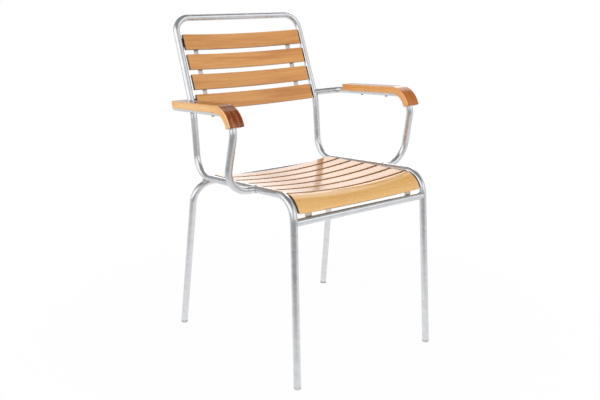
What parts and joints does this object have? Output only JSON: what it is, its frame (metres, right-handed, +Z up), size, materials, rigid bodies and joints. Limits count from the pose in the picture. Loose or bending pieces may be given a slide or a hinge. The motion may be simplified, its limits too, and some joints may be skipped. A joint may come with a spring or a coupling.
{
  "type": "stacking garden armchair",
  "caption": "Garden armchair of bent galvanised steel tube with bowed wooden slats on steel straps, bentwood arm pads and splayed rear legs.",
  "frame": {"origin": "on the floor, under the middle of the chair's bounding box", "axes": "+Z up, -Y to the front of the chair, +X to the right as seen from the front"},
  "size_m": [0.596, 0.5964, 0.84],
  "materials": {
    "galvanised_tube": "hot-dip galvanised tube with a faint spangle",
    "zinc_strap": "galvanised flat bar",
    "slat_wood": "clear gloss lacquer on honey-coloured hardwood",
    "pad_wood": "clear gloss lacquer on bent laminated hardwood",
    "screw_steel": "zinc-plated screw",
    "glide_plastic": "light grey moulded plastic"
  },
  "bodies": {
    "root": {"main_frame_tube": "galvanised_tube", "rear_leg_hoop": "galvanised_tube", "front_cross_tube": "galvanised_tube", "arm_tube_right": "galvanised_tube", "arm_tube_left": "galvanised_tube", "seat_strap_right": "zinc_strap", "seat_strap_left": "zinc_strap", "back_strap_right": "zinc_strap", "back_strap_left": "zinc_strap", "back_bar_upper": "zinc_strap", "back_bar_lower": "zinc_strap", "seat_slat_1": "slat_wood", "seat_slat_2": "slat_wood", "seat_slat_3": "slat_wood", "seat_slat_4": "slat_wood", "seat_slat_5": "slat_wood", "seat_slat_6": "slat_wood", "seat_front_slat": "slat_wood", "back_slat_1": "slat_wood", "back_slat_2": "slat_wood", "back_slat_3": "slat_wood", "back_slat_4": "slat_wood", "arm_pad_right": "pad_wood", "arm_pad_left": "pad_wood", "arm_pad_screw_right_1": "screw_steel", "arm_pad_screw_right_2": "screw_steel", "arm_pad_screw_left_1": "screw_steel", "arm_pad_screw_left_2": "screw_steel", "seat_screw_right_1": "screw_steel", "seat_screw_right_2": "screw_steel", "seat_screw_right_3": "screw_steel", "seat_screw_right_4": "screw_steel", "seat_screw_right_5": "screw_steel", "seat_screw_right_6": "screw_steel", "seat_screw_left_1": "screw_steel", "seat_screw_left_2": "screw_steel", "seat_screw_left_3": "screw_steel", "seat_screw_left_4": "screw_steel", "seat_screw_left_5": "screw_steel", "seat_screw_left_6": "screw_steel", "seat_screw_right_front": "screw_steel", "seat_screw_left_front": "screw_steel", "back_screw_right_1": "screw_steel", "back_screw_right_2": "screw_steel", "back_screw_right_3": "screw_steel", "back_screw_right_4": "screw_steel", "back_screw_left_1": "screw_steel", "back_screw_left_2": "screw_steel", "back_screw_left_3": "screw_steel", "back_screw_left_4": "screw_steel", "foot_glide_front_right": "glide_plastic", "foot_glide_front_left": "glide_plastic", "foot_glide_rear_right": "glide_plastic", "foot_glide_rear_left": "glide_plastic"}
  },
  "joints": []
}
